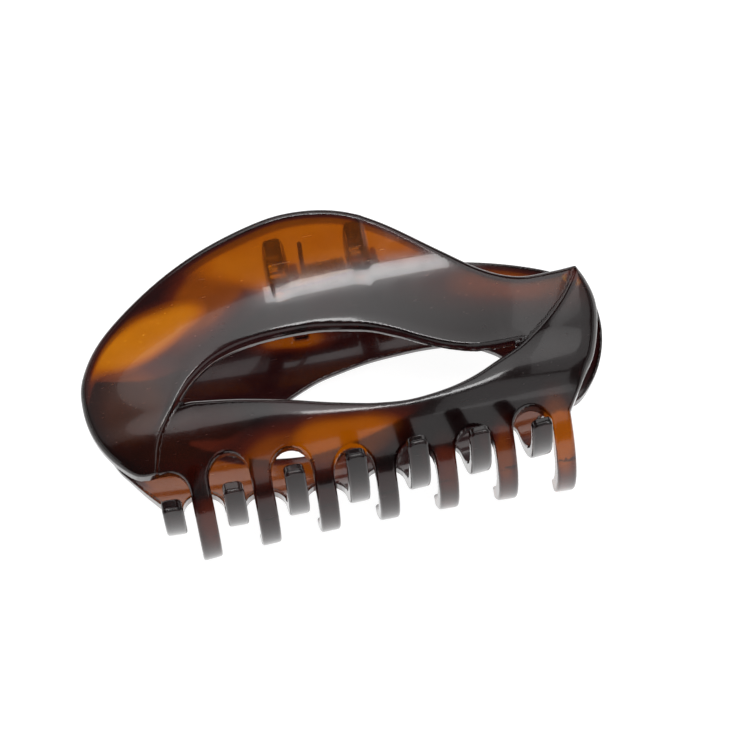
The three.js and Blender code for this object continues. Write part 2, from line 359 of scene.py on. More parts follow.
class JawForm:
    """The exact form of a jaw: its outlines, and how far any point is from its surface."""

    def __init__(self, jaw: JawSizes, hinge: HingeSizes, outlines: Outlines) -> None:
        """Works out the outlines.

        Args:
            jaw: Sizes of the jaw.
            hinge: Sizes of the hinge.
            outlines: Shares that give the bands' outlines.
        """
        self.jaw = jaw
        self.hinge = hinge
        self.outlines = outlines
        self.half = jaw.length / 2
        self.sweep = jaw.end_sweep / self.half**2
        self.hinge_z = jaw.grip_height - hinge.below_rim
        self.teeth = [(i - jaw.tooth_shift) * jaw.tooth_pitch for i in range(jaw.tooth_count)]
        self.upper_loop = self._upper_loop()
        self.lower_loop = self._lower_loop()
        self.lug_loop = self._lug_loop()
        self.upper_map = OutlineMap(self.upper_loop)
        self.lower_map = OutlineMap(self.lower_loop)
        self.lug_map = OutlineMap(self.lug_loop)

    def _placed(self, shares: Iterable[Sequence[float]]) -> Loop:
        """Shares as places in millimetres."""
        return [(u * self.half, w * self.jaw.grip_height) for u, w in shares]

    def _upper_loop(self) -> Loop:
        """The outline of the band with the round lobe.

        Returns:
            The outline's points, as x and z.
        """
        o = self.outlines
        rim = self._placed((o.crease_foot, *o.grip_rim, o.pointed_end))
        under = self._placed((*o.upper_underside, o.crease_foot))
        return spline(rim) + [rim[-1]] + spline(under)

    def _lower_loop(self) -> Loop:
        """The outline of the band with the teeth, down to their roots.

        Returns:
            The outline's points, as x and z.
        """
        j, o = self.jaw, self.outlines
        top = self._placed((*o.lower_top, o.pointed_end))
        half_tooth = j.tooth_width / 2
        radius = j.tooth_pitch / 2 - half_tooth
        side = self._placed((o.pointed_end, *o.pointed_side)) + [(self.teeth[-1] + half_tooth, 0.0)]
        loop = spline(top) + spline(side) + [side[-1]]
        for i in range(j.tooth_count - 1, 0, -1):
            x = self.teeth[i]
            loop += [(x + half_tooth, j.root_z), (x - half_tooth, j.root_z)]
            loop += arc((x - j.tooth_pitch / 2, o.arch_tops[i] - radius), radius, 0, math.pi)
        x = self.teeth[0]
        loop += [(x + half_tooth, j.root_z), (x - half_tooth, j.root_z)]
        loop += arc((x - half_tooth - radius, o.arch_tops[0] - radius), radius, 0, math.pi / 2)
        loop.append((top[0][0], o.arch_tops[0] + j.corner_rise))
        return loop

    def _lug_loop(self) -> Loop:
        """The outline of a lug in the plane across the clip.

        Returns:
            The outline's points, as y and z.
        """
        h, wall = self.hinge, self.jaw.wall
        high = self.hinge_z + h.lug_root_high
        low = self.hinge_z - h.lug_root_low
        barrel = arc((0.0, self.hinge_z), h.lug_radius, math.pi / 2, -math.pi / 2, 24)
        root_high = (wall / 2 - float(self.face_depth(np.array(high))), high)
        root_low = (wall / 2 - float(self.face_depth(np.array(low))), low)
        return [root_high, *barrel, root_low]

    def face_depth(self, z: np.ndarray) -> np.ndarray:
        """How far the face stands out from the middle plane, at mid length.

        Args:
            z: Heights.

        Returns:
            A depth for each height.
        """
        j = self.jaw
        hooked = np.minimum(z, j.flare_from)
        belly = np.sqrt(np.maximum(j.hook_radius**2 - (j.hook_z - hooked) ** 2, 0.01)) - j.hook_y
        up = np.maximum(z - j.flare_from, 0)
        return belly + j.flare_lean * up + j.flare_rate * up**2

    def face_slope(self, z: np.ndarray) -> np.ndarray:
        """How fast the face's depth grows with height."""
        step = 0.01
        return (self.face_depth(z + step) - self.face_depth(z - step)) / (2 * step)

    def hook_centre(self, x: np.ndarray) -> np.ndarray:
        """Where the hook's centre lies in y, at a place along the clip."""
        return self.jaw.hook_y + self.sweep * x**2

    def under_face(self, p: Points) -> np.ndarray:
        """How deep points lie under the face, which goes on round the hook.

        Args:
            p: The points.

        Returns:
            A depth for each point, negative outside.
        """
        j = self.jaw
        x, y, z = p.T
        lean = 2 * self.sweep * x
        face = self.sweep * x**2 - self.face_depth(z)
        flat = (y - face) / np.sqrt(1 + lean**2 + self.face_slope(z) ** 2)
        dy, dz = y - self.hook_centre(x), z - j.hook_z
        radius = np.maximum(np.hypot(dy, dz), 0.01)
        hooked = (j.hook_radius - radius) / np.sqrt(1 + (lean * dy / radius) ** 2)
        share = ramp(z, j.hook_until, j.flare_from)
        return hooked * (1 - share) + flat * share

    def proud(self, x: np.ndarray) -> np.ndarray:
        """How proud the upper band stands at a place along the clip; the lower one stands as much back."""
        return -self.jaw.crease_step / 2 * np.clip(x / (self.jaw.crease_reach * self.half), -1, 1)

    def band(
        self, under: np.ndarray, outline: np.ndarray, proud: np.ndarray, wall: Any, edge: Any
    ) -> np.ndarray:
        """Signed distance to a stretch of wall with rounded edges.

        Args:
            under: Depth under the face.
            outline: Signed distance to the outline.
            proud: How far the wall stands proud of the face.
            wall: Its thickness, from the face.
            edge: The radius of its outer edges.

        Returns:
            The distance, negative inside.
        """
        outer = round_intersection(outline, -under - proud, edge)
        inner = round_intersection(outline, under - wall, self.jaw.inner_edge)
        return np.maximum(outer, inner)

    def lip(self, outline: np.ndarray) -> np.ndarray:
        """How far the face rolls back towards the edge of a band."""
        return self.jaw.lip_roll * np.clip(self.jaw.lip_width + outline, 0, self.jaw.lip_width) ** 2

    def tooth_angles(self, x: float) -> tuple[float, float]:
        """The angles round the hook where a tooth starts inside the band and where it ends.

        Args:
            x: The middle of the tooth.

        Returns:
            Both angles.
        """
        j = self.jaw
        radius = j.hook_radius - float(self.proud(np.array(x)))
        centre = float(self.hook_centre(np.array(x)))
        root = math.asin((j.hook_z - j.root_z - j.root_overlap) / radius)
        return root, math.pi - math.acos((j.tip_reach - centre) / radius)

    def tooth(self, p: Points, under: np.ndarray, middle: float) -> np.ndarray:
        """Signed distance to one tooth.

        Args:
            p: The points.
            under: How deep they lie under the face.
            middle: Where the tooth's middle is along the clip.

        Returns:
            A distance for each point, negative inside.
        """
        j = self.jaw
        x, y, z = p.T
        root, tip = self.tooth_angles(middle)
        angle = np.arctan2(j.hook_z - z, self.hook_centre(x) - y)
        side = np.abs(x - middle) - j.tooth_width / 2
        end = np.maximum((angle - tip), (root - angle)) * j.hook_radius
        outline = round_intersection(side, end, j.tip_corner)
        share = np.clip((angle - root) / (tip - root), 0, 1)
        wall = j.wall + (j.tip_wall - j.wall) * share
        return self.band(under, outline, -self.proud(x), wall, j.tooth_edge)

    def lugs(self, p: Points) -> np.ndarray:
        """Signed distance to the nearer lug of the two.

        Args:
            p: The points.

        Returns:
            A distance for each point, negative inside.
        """
        h = self.hinge
        x, y, z = p.T
        plate = self.lug_map.at(y, z)
        found = []
        for start in h.lug_starts:
            across = np.abs(x - start - h.lug_width / 2) - h.lug_width / 2
            found.append(round_intersection(plate, across, self.jaw.lug_edge))
        return np.minimum(*found)

    def value(self, p: Points) -> np.ndarray:
        """Signed distance to the jaw's surface.

        Args:
            p: The points.

        Returns:
            A distance for each point, negative inside.
        """
        j, h = self.jaw, self.hinge
        x, y, z = p.T
        under = self.under_face(p)
        proud = self.proud(x)
        above_teeth = ramp(z, *j.tooth_to_band)
        edge = j.tooth_edge + (j.outer_edge - j.tooth_edge) * above_teeth
        upper_line, lower_line = self.upper_map.at(x, z), self.lower_map.at(x, z)
        beside_window = ramp(x, *j.lip_ends_x) * (1 - ramp(z, *j.lip_ends_z))
        upper = self.band(under, upper_line, proud - self.lip(upper_line) * beside_window, j.wall, edge)
        lower = self.band(under, lower_line, -proud - self.lip(lower_line) * above_teeth, j.wall, edge)
        lower = np.maximum(lower, y - self.hook_centre(x) + j.band_stop)
        for middle in self.teeth:
            near = np.abs(x - middle) < j.tooth_pitch / 2
            lower[near] = np.minimum(lower[near], self.tooth(p[near], under[near], middle))
        body = soft_union(upper, lower, j.crease_fillet)
        body = soft_union(body, self.lugs(p), j.lug_fillet)
        return np.maximum(body, h.bore - np.hypot(y, z - self.hinge_z))

    def painted_path_shade(self, p: Points) -> np.ndarray:
        """How much painted shade the plastic gets for light's long way through it, from 0 on a broad face to
        1 along a rim or in a lug.

        Args:
            p: Points on the surface.

        Returns:
            A number from 0 to 1 for each point.
        """
        # painted shade: rims and lugs are darkened in the colour, standing for light's long way through the
        # plastic
        dark = PaintedShadePlaces()
        x, _, z = p.T
        inside = -np.minimum(self.upper_map.at(x, z), self.lower_map.at(x, z))
        rim = (1 - ramp(inside, *dark.rim)) * ramp(z, *self.jaw.tooth_to_band)
        lug = ramp(self.under_face(p) - self.jaw.wall, *dark.behind_wall) * ramp(z, *dark.lug_height)
        lug *= 1 - dark.top_clears * ramp(z - self.hinge_z, *dark.over_hinge)
        return np.maximum(rim, lug)

    def slope(self, p: Points, step: float = 0.02) -> Points:
        """Direction in which the distance grows.

        Args:
            p: The points.
            step: How far apart the distances are that are compared.

        Returns:
            A direction for each point, not scaled to length one.
        """
        grad = np.empty_like(p)
        for axis in range(3):
            shift = np.zeros(3)
            shift[axis] = step
            grad[:, axis] = (self.value(p + shift) - self.value(p - shift)) / (2 * step)
        return grad


@dataclass(frozen=True)
class ClipFrame:
    """Lays the clip's own frame, in millimetres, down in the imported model's frame."""

    hinge: Vector
    hinge_z: float

    def matrix(self, side: Side = Side.FRONT) -> Matrix:
        """The move that takes a piece of a jaw from its own frame to its place.

        Args:
            side: Which jaw the piece belongs to.

        Returns:
            The move, which also turns millimetres into metres.
        """
        lie_down = Matrix(((1, 0, 0), (0, 0, 1), (0, -1, 0))).to_4x4()
        turn = Matrix.Rotation(math.pi if side is Side.REAR else 0, 4, "Z")
        drop = Matrix.Translation((0, 0, -self.hinge_z))
        return Matrix.Translation(self.hinge) @ Matrix.Scale(MM, 4) @ lie_down @ turn @ drop

    def place(self, x: float, z: float, side: Side = Side.FRONT) -> Vector:
        """Where a spot in the middle plane of a jaw lies."""
        return self.matrix(side) @ Vector((x, 0, z))


def shown(mesh: bpy.types.Mesh, name: str) -> bpy.types.Object:
    """Puts a mesh in the scene.

    Args:
        mesh: The mesh.
        name: The object's name.

    Returns:
        The object that shows it.
    """
    piece = bpy.data.objects.new(name, mesh)
    bpy.context.scene.collection.objects.link(piece)
    return piece


class JawMoulding:
    """Makes the fine mesh of a jaw from simple solids, and settles it on the exact form."""

    voxel = 0.4
    plate_step = 1.6
    cut_margin = 2.0
    tooth_cuts = 24
    bore_sides = 32
    settling_rounds = 5
    longest_move = 0.35
    least_steepness = 0.25

    def __init__(self, form: JawForm) -> None:
        """Keeps the form that the mesh follows."""
        self.form = form

    def _plate(self, bm: bmesh.types.BMesh, loop: Loop) -> list[bmesh.types.BMVert]:
        """A flat plate with an outline, from y = 0 to y = 1, cut into small faces.

        Args:
            bm: Where the plate goes.
            loop: The outline, as x and z.

        Returns:
            The plate's vertices.
        """
        far = self.form.half + self.cut_margin
        part = bmesh.new()
        part.faces.new([part.verts.new((u, 0, w)) for u, w in loop])
        bmesh.ops.triangulate(part, faces=part.faces[:])
        for axis in (Vector((1, 0, 0)), Vector((0, 0, 1))):
            for at in np.arange(-far, far, self.plate_step):
                everything = part.verts[:] + part.edges[:] + part.faces[:]
                cut = {"plane_co": axis * float(at), "plane_no": axis, "dist": 1e-5}
                bmesh.ops.bisect_plane(part, geom=everything, **cut)
        made = bmesh.ops.extrude_face_region(part, geom=part.faces[:], use_keep_orig=True)
        raised = [v for v in made["geom"] if isinstance(v, bmesh.types.BMVert)]
        bmesh.ops.translate(part, verts=raised, vec=(0, 1, 0))
        bmesh.ops.recalc_face_normals(part, faces=part.faces[:])
        before = len(bm.verts)
        self._append(bm, part)
        bm.verts.ensure_lookup_table()
        return bm.verts[before:]

    def _curve_band(self, verts: list[bmesh.types.BMVert], proud: Callable[[np.ndarray], Any]) -> None:
        """Moves a flat plate onto the two faces of the jaw's wall.

        Args:
            verts: The plate's vertices.
            proud: How proud the band stands, from places along the clip.
        """
        form = self.form
        flat = np.array([v.co for v in verts])
        x, z = flat[:, 0], flat[:, 2]
        slope = form.face_slope(z)
        length = np.sqrt(1 + (2 * form.sweep * x) ** 2 + slope**2)
        depth = np.where(flat[:, 1] > 0.5, form.jaw.wall, -proud(x))
        y = form.sweep * x**2 - form.face_depth(z) + depth * length
        for vert, at in zip(verts, y):
            vert.co.y = at

    def _tooth(self, bm: bmesh.types.BMesh, middle: float) -> None:
        """One hooked tooth, spun round the hook's centre from a flat section.

        Args:
            bm: Where the tooth goes.
            middle: Where its middle is along the clip.
        """
        form, j = self.form, self.form.jaw
        root, tip = form.tooth_angles(middle)
        centre = Vector((middle, float(form.hook_centre(np.array(middle))), j.hook_z))
        part = bmesh.new()
        outer = j.hook_radius - float(form.proud(np.array(middle)))
        half, inner = j.tooth_width / 2, outer - j.wall
        corners = [(-half, outer), (half, outer), (half, inner), (-half, inner)]
        rim = [part.verts.new(centre + Vector((across, -radius, 0))) for across, radius in corners]
        section = part.faces.new(rim)
        turn = Matrix.Rotation(root, 3, "X")
        bmesh.ops.rotate(part, cent=centre, matrix=turn, verts=rim)
        hook = {"axis": (1, 0, 0), "angle": tip - root, "steps": self.tooth_cuts}
        bmesh.ops.spin(part, geom=[section], cent=centre, **hook)
        bmesh.ops.recalc_face_normals(part, faces=part.faces[:])
        self._append(bm, part)

    @staticmethod
    def _append(bm: bmesh.types.BMesh, part: bmesh.types.BMesh) -> None:
        """Adds one bmesh to another.

        Args:
            bm: The bmesh that grows.
            part: The one that is added, which is freed.
        """
        mesh = bpy.data.meshes.new("part")
        part.to_mesh(mesh)
        part.free()
        bm.from_mesh(mesh)
        bpy.data.meshes.remove(mesh)

    def _lug(self, bm: bmesh.types.BMesh, start: float) -> None:
        """One hinge lug with its bore.

        Args:
            bm: Where the lug goes.
            start: Where it starts along the hinge.
        """
        form, h = self.form, self.form.hinge
        part = bmesh.new()
        hole = arc((0.0, form.hinge_z), h.bore, 0, 2 * math.pi, self.bore_sides)[:-1]
        for loop in (form.lug_loop, hole):
            ring = [part.verts.new((start, u, w)) for u, w in loop]
            for a, b in zip(ring, ring[1:] + ring[:1]):
                part.edges.new((a, b))
        bmesh.ops.triangle_fill(part, use_beauty=True, use_dissolve=False, edges=part.edges[:])
        made = bmesh.ops.extrude_face_region(part, geom=part.faces[:], use_keep_orig=True)
        raised = [v for v in made["geom"] if isinstance(v, bmesh.types.BMVert)]
        bmesh.ops.translate(part, verts=raised, vec=(h.lug_width, 0, 0))
        bmesh.ops.recalc_face_normals(part, faces=part.faces[:])
        self._append(bm, part)

    def rough_mesh(self) -> bpy.types.Mesh:
        """The bands, teeth and lugs as plain overlapping solids.

        Returns:
            The mesh, in the jaw's own frame.
        """
        form = self.form
        bm = bmesh.new()
        self._curve_band(self._plate(bm, form.upper_loop), form.proud)
        self._curve_band(self._plate(bm, form.lower_loop), lambda x: -form.proud(x))
        for middle in form.teeth:
            self._tooth(bm, middle)
        for start in form.hinge.lug_starts:
            self._lug(bm, start)
        mesh = bpy.data.meshes.new("rough_jaw")
        bm.to_mesh(mesh)
        bm.free()
        return mesh

    @staticmethod
    def _keep_main_body(mesh: bpy.types.Mesh) -> None:
        """Deletes every loose crumb of a mesh.

        Args:
            mesh: The mesh, of which the body with the most vertices is kept.
        """
        bm = bmesh.new()
        bm.from_mesh(mesh)
        unseen = set(bm.verts)
        islands = []
        while unseen:
            island = [unseen.pop()]
            for vert in island:
                for edge in vert.link_edges:
                    other = edge.other_vert(vert)
                    if other in unseen:
                        unseen.remove(other)
                        island.append(other)
            islands.append(island)
        islands.sort(key=len)
        for crumb in islands[:-1]:
            bmesh.ops.delete(bm, geom=crumb, context="VERTS")
        bm.to_mesh(mesh)
        bm.free()

    def settled(self, p: Points) -> Points:
        """Points moved onto the exact surface, a short way at a time.

        Args:
            p: The points, near the surface.

        Returns:
            The points on the surface.
        """
        p = p.copy()
        for _ in range(self.settling_rounds):
            value = self.form.value(p)
            slope = self.form.slope(p)
            steep = np.maximum((slope**2).sum(1), self.least_steepness)
            move = -slope * (value / steep)[:, None]
            length = np.linalg.norm(move, axis=1)
            move *= np.minimum(1, self.longest_move / np.maximum(length, 1e-9))[:, None]
            p += move
        return p

    def moulded(self) -> tuple[bpy.types.Mesh, Points]:
        """Makes the fine mesh of the jaw.

        Returns:
            The mesh in the jaw's own frame, in millimetres, and the directions its surface faces.
        """
        rough = shown(self.rough_mesh(), "rough_jaw")
        remesh = rough.modifiers.new("skin", "REMESH")
        remesh.mode = "VOXEL"
        remesh.voxel_size = self.voxel
        graph = bpy.context.evaluated_depsgraph_get()
        mesh = bpy.data.meshes.new_from_object(rough.evaluated_get(graph))
        bpy.data.objects.remove(rough)
        self._keep_main_body(mesh)
        p = np.empty(len(mesh.vertices) * 3)
        mesh.vertices.foreach_get("co", p)
        p = self.settled(p.reshape(-1, 3))
        mesh.vertices.foreach_set("co", p.astype(np.float32).ravel())
        mesh.update()
        # painted shade along the rims and in the lugs, kept on the mesh for the material
        painted_shade_amount = mesh.attributes.new("painted_path_shade", "FLOAT", "POINT")
        painted_shade_amount.data.foreach_set("value", self.form.painted_path_shade(p).astype(np.float32))
        LOG.info("jaw skin: %d vertices, %d faces", len(mesh.vertices), len(mesh.polygons))
        return mesh, self.form.slope(p)


class Value:
    """A node's output that ordinary arithmetic works on."""

    def __init__(self, finish: "Finish", socket: bpy.types.NodeSocket) -> None:
        """Keeps the output and the finish that it belongs to."""
        self.finish = finish
        self.socket = socket

    def _maths(self, operation: str, *values: Any) -> "Value":
        """A Math node on some values."""
        inputs = dict(enumerate(values))
        return self.finish.node("ShaderNodeMath", {"operation": operation}, inputs)

    def __add__(self, other: Any) -> "Value":
        """This value plus another."""
        return self._maths("ADD", self, other)

    def __sub__(self, other: Any) -> "Value":
        """This value less another."""
        return self._maths("SUBTRACT", self, other)

    def __rsub__(self, other: Any) -> "Value":
        """A number less this value."""
        return self._maths("SUBTRACT", other, self)

    def __mul__(self, other: Any) -> "Value":
        """This value times another."""
        return self._maths("MULTIPLY", self, other)

    __radd__ = __add__
    __rmul__ = __mul__

    def larger(self, other: Any) -> "Value":
        """The larger of this value and another."""
        return self._maths("MAXIMUM", self, other)

    def clamped(self) -> "Value":
        """This value, kept between 0 and 1."""
        return self.finish.node("ShaderNodeClamp", {}, {"Value": self})

    def stepped(self, low: float, high: float, to_low: float, to_high: float) -> "Value":
        """A smooth step from one number to another as this value goes from low to high."""
        ends = {"Value": self, "From Min": low, "From Max": high, "To Min": to_low, "To Max": to_high}
        return self.finish.node("ShaderNodeMapRange", {"interpolation_type": "SMOOTHSTEP"}, ends)


@dataclass(frozen=True)
class Pattern:
    """A cloudy pattern: how many times it repeats in a metre, its detail, and how its axes are stretched."""

    scale: float
    detail: float
    stretch: tuple = (1.0, 1.0, 1.0)
    turn: float = 0.0


class Finish:
    """One material under construction."""

    def __init__(self, name: str) -> None:
        """Starts an empty material.

        Args:
            name: The material's name.
        """
        self.material = bpy.data.materials.new(name)
        self.material.use_nodes = True
        self.tree = self.material.node_tree
        self.tree.nodes.clear()
        self.spot = self.node("ShaderNodeTexCoord", {}, {}, "Object")

    def node(self, kind: str, settings: dict[str, Any], inputs: dict[Any, Any], output: Any = 0) -> Value:
        """Makes one node.

        Args:
            kind: The node's type.
            settings: Its settings, among them a ramp's stops.
            inputs: Values or links of its sockets.
            output: The output that is wanted.

        Returns:
            That output.
        """
        made = self.tree.nodes.new(kind)
        settings = dict(settings)
        stops = settings.pop("stops", ())
        for name, value in settings.items():
            setattr(made, name, value)
        for i, (at, colour) in enumerate(stops):
            stop = made.color_ramp.elements[i] if i < 2 else made.color_ramp.elements.new(at)
            stop.position = at
            stop.color = (*colour, 1)
        for key, value in inputs.items():
            if isinstance(value, Value):
                self.tree.links.new(value.socket, made.inputs[key])
            else:
                made.inputs[key].default_value = value
        return Value(self, made.outputs[output])

    def noise(self, pattern: Pattern, spot: Value | None = None, output: str = "Fac") -> Value:
        """Cloudy noise.

        Args:
            pattern: How fine it is and how it is stretched.
            spot: Where it is read, which is the place on the piece unless another is given.
            output: The output that is wanted.

        Returns:
            That output.
        """
        place = {
            "Vector": spot or self.spot,
            "Scale": pattern.stretch,
            "Rotation": (0, 0, pattern.turn),
        }
        stretched = self.node("ShaderNodeMapping", {"vector_type": "POINT"}, place)
        inputs = {"Vector": stretched, "Scale": pattern.scale, "Detail": pattern.detail}
        return self.node("ShaderNodeTexNoise", {"noise_dimensions": "3D"}, inputs, output)

    def surface(self, inputs: dict[str, Any]) -> bpy.types.Material:
        """Ends the material with one Principled shader.

        Args:
            inputs: Values or links of the shader's sockets.

        Returns:
            The material.
        """
        shader = self.node("ShaderNodeBsdfPrincipled", {}, inputs, "BSDF")
        self.node_output(shader)
        return self.material

    def node_output(self, shader: Value) -> None:
        """Links a shader to the material's output."""
        end = self.tree.nodes.new("ShaderNodeOutputMaterial")
        self.tree.links.new(shader.socket, end.inputs["Surface"])


@dataclass(frozen=True)
class Cloud:
    """A cloud of light plastic: an ellipse in the jaw's middle plane, in millimetres and degrees."""

    x: float
    z: float
    half_length: float
    half_height: float
    turn: float
    strength: float
    fade: float = 0.35


@dataclass(frozen=True)
class Tortoiseshell:
    """Glossy see-through plastic with dark and amber clouds, and painted shade along its rims and in its
    lugs.
    """

    name: str
    side: Side
    clouds: tuple[Cloud, ...]
    dark: tuple = (0.0, (0.018, 0.0040, 0.0045))
    wine: tuple = (0.28, (0.080, 0.011, 0.004))
    amber: tuple = (0.55, (0.34, 0.078, 0.0003))
    gold: tuple = (0.8, (0.62, 0.21, 0.004))
    honey: tuple = (1.0, (0.88, 0.50, 0.10))
    drift: Pattern = Pattern(55.0, 1.5)
    swirl: Pattern = Pattern(120.0, 2.0, (0.5, 1.0, 1.0), 0.3)
    grain: Pattern = Pattern(420.0, 3.0, (0.35, 1.0, 1.0), 0.25)
    handling: Pattern = Pattern(260.0, 3.0)
    scratching: Pattern = Pattern(2600.0, 1.0, (0.05, 1.0, 1.0), 0.2)
    ripple: Pattern = Pattern(90.0, 1.0)
    drift_length: float = 5.0
    depth: float = 10.0
    swirl_share: float = 0.14
    grain_share: float = 0.04
    # how far the painted shade along rims and in lugs darkens the colour
    painted_shade_strength: float = 0.85
    polish: tuple = (0.13, 0.18)
    scratch_roughness: float = 0.22
    scratch_depth: float = 0.08

    def material(self, clip: ClipFrame) -> bpy.types.Material:
        """Makes the material.

        Args:
            clip: Where the jaws lie.

        Returns:
            The material.
        """
        finish = Finish(self.name)
        light = self._light(finish, clip)
        stops = (self.dark, self.honey, self.wine, self.amber, self.gold)
        colour = finish.node("ShaderNodeValToRGB", {"stops": stops}, {"Fac": light}, "Color")
        handled = finish.noise(self.handling).stepped(0.35, 0.75, *self.polish)
        scratches = finish.noise(self.scratching)
        wear = handled + scratches.stepped(0.72, 0.80, 0.0, self.scratch_roughness)
        height = finish.noise(self.ripple) + scratches.stepped(0.70, 0.78, 0.0, -self.scratch_depth)
        bump = {"Height": height, "Strength": 0.06, "Distance": 0.4 * MM}
        return finish.surface(
            {
                "Base Color": colour,
                "Roughness": wear,
                "IOR": 1.42,
                "Specular IOR Level": 0.1,
                "Transmission Weight": 0.82,
                "Coat Weight": 0.3,
                "Coat Roughness": 0.02,
                "Normal": finish.node("ShaderNodeBump", {}, bump, "Normal"),
            }
        )

    def _light(self, finish: Finish, clip: ClipFrame) -> Value:
        """How light the plastic's colour is at each place, with painted shade along the rims and in the lugs.

        Args:
            finish: The material under construction.
            clip: Where the jaws lie.

        Returns:
            A number from 0 to 1.
        """
        drift = finish.noise(self.drift, output="Color")
        middle = {0: drift, 1: (0.5, 0.5, 0.5)}
        centred = finish.node("ShaderNodeVectorMath", {"operation": "SUBTRACT"}, middle)
        length = {0: centred, "Scale": self.drift_length * MM}
        shift = finish.node("ShaderNodeVectorMath", {"operation": "SCALE"}, length)
        drifted = finish.node("ShaderNodeVectorMath", {"operation": "ADD"}, {0: finish.spot, 1: shift})
        found = [self._cloud(finish, drifted, cloud, clip) for cloud in self.clouds]
        light = reduce(Value.larger, found)
        grain = (finish.noise(self.grain) - 0.5) * self.grain_share
        swirl = (finish.noise(self.swirl, drifted) - 0.5) * self.swirl_share
        # painted shade: the colour is darkened along rims and in lugs, where light would go a long way
        # through the plastic
        painted_shade_amount = finish.node("ShaderNodeAttribute", {"attribute_name": "painted_path_shade"}, {}, "Fac")
        return ((light + swirl + grain) * (1 - painted_shade_amount * self.painted_shade_strength)).clamped()

    def _cloud(self, finish: Finish, spot: Value, cloud: Cloud, clip: ClipFrame) -> Value:
        """How light one cloud makes the plastic.

        Args:
            finish: The material under construction.
            spot: Where the cloud is read.
            cloud: The cloud.
            clip: Where the jaws lie.

        Returns:
            The cloud's strength in its middle, down to 0 outside it.
        """
        turn = math.radians(cloud.turn if self.side is Side.FRONT else -cloud.turn)
        inputs = {
            "Vector": spot,
            "Location": clip.place(cloud.x, cloud.z, self.side),
            "Rotation": (0, 0, turn),
            "Scale": (cloud.half_length * MM, cloud.half_height * MM, self.depth),
        }
        local = finish.node("ShaderNodeMapping", {"vector_type": "TEXTURE"}, inputs)
        distance = finish.node("ShaderNodeVectorMath", {"operation": "LENGTH"}, {0: local}, "Value")
        return distance.stepped(1 - cloud.fade, 1 + cloud.fade, cloud.strength, 0.0)


@dataclass(frozen=True)
class DrawnSteel:
    """Bright steel with fine lines along the way it was drawn."""

    name: str
    colour: tuple
    roughness: tuple
    lines: tuple
    tarnish: tuple = (0.20, 0.17, 0.15)
    tarnish_share: float = 0.6

    def material(self) -> bpy.types.Material:
        """Makes the material.

        Returns:
            The material.
        """
        finish = Finish(self.name)
        drawn = finish.noise(Pattern(1000.0, 3.0, self.lines))
        dulled = finish.noise(Pattern(300.0, 2.0)).stepped(0.4, 0.8, 0.0, self.tarnish_share)
        mixed = {0: dulled, 6: (*self.colour, 1), 7: (*self.tarnish, 1)}
        colour = finish.node("ShaderNodeMix", {"data_type": "RGBA"}, mixed, 2)
        bump = {"Height": drawn, "Strength": 0.15, "Distance": 0.05 * MM}
        return finish.surface(
            {
                "Base Color": colour,
                "Metallic": 1.0,
                "Roughness": drawn.stepped(0.2, 0.8, *self.roughness),
                "Normal": finish.node("ShaderNodeBump", {}, bump, "Normal"),
            }
        )


FRONT_CLOUDS = (
    Cloud(-38, 30.0, 14, 4.2, 14, 0.71, 0.4),
    Cloud(-23.5, 35.8, 15, 6.0, 33, 0.39),
    Cloud(-2, 39.5, 27, 6.5, -3, 0.58),
    Cloud(36, 27.0, 16, 5.5, -3, 0.48, 0.6),
    Cloud(46.9, 26.6, 2.0, 2.4, 20, 1.0, 0.3),
    Cloud(-43, 18.0, 9, 10.0, 0, 0.38, 0.6),
    Cloud(-4, 2.6, 12, 4.5, 2, 0.56, 0.45),
    Cloud(-16, 1.5, 11, 5.0, 0, 0.40, 0.5),
    Cloud(-34, 9.0, 11, 7.0, 0, 0.27, 0.5),
    Cloud(38.2, -3.0, 3.0, 6.5, 0, 0.54, 0.5),
    Cloud(27, -4.5, 2.6, 5.0, 0, 0.36, 0.5),
    Cloud(15, -5.0, 2.4, 4.0, 0, 0.28, 0.5),
    Cloud(-31.5, -5.0, 2.5, 4.0, 0, 0.26, 0.5),
)

REAR_CLOUDS = (
    Cloud(28, 3.5, 26, 8.0, 0, 0.44, 0.4),
    Cloud(12, 42, 42, 8.0, 0, 0.58, 0.3),
    Cloud(8, 32, 8, 2.5, 0, 0.46, 0.5),
    Cloud(-32, 36, 16, 6.5, 28, 0.46, 0.5),
    Cloud(-36, 2, 8, 6.0, 0, 0.36, 0.5),
)


def settled_object(bm: bmesh.types.BMesh, name: str, place: Matrix) -> bpy.types.Object:
    """Ends a bmesh as a smooth object that has its place in its mesh.

    Args:
        bm: The shape, which is freed.
        name: The piece's name.
        place: The move to its place.

    Returns:
        The object.
    """
    bmesh.ops.transform(bm, matrix=place, verts=bm.verts[:])
    bmesh.ops.recalc_face_normals(bm, faces=bm.faces[:])
    for face in bm.faces:
        face.smooth = True
    mesh = bpy.data.meshes.new(name)
    bm.to_mesh(mesh)
    bm.free()
    return shown(mesh, name)


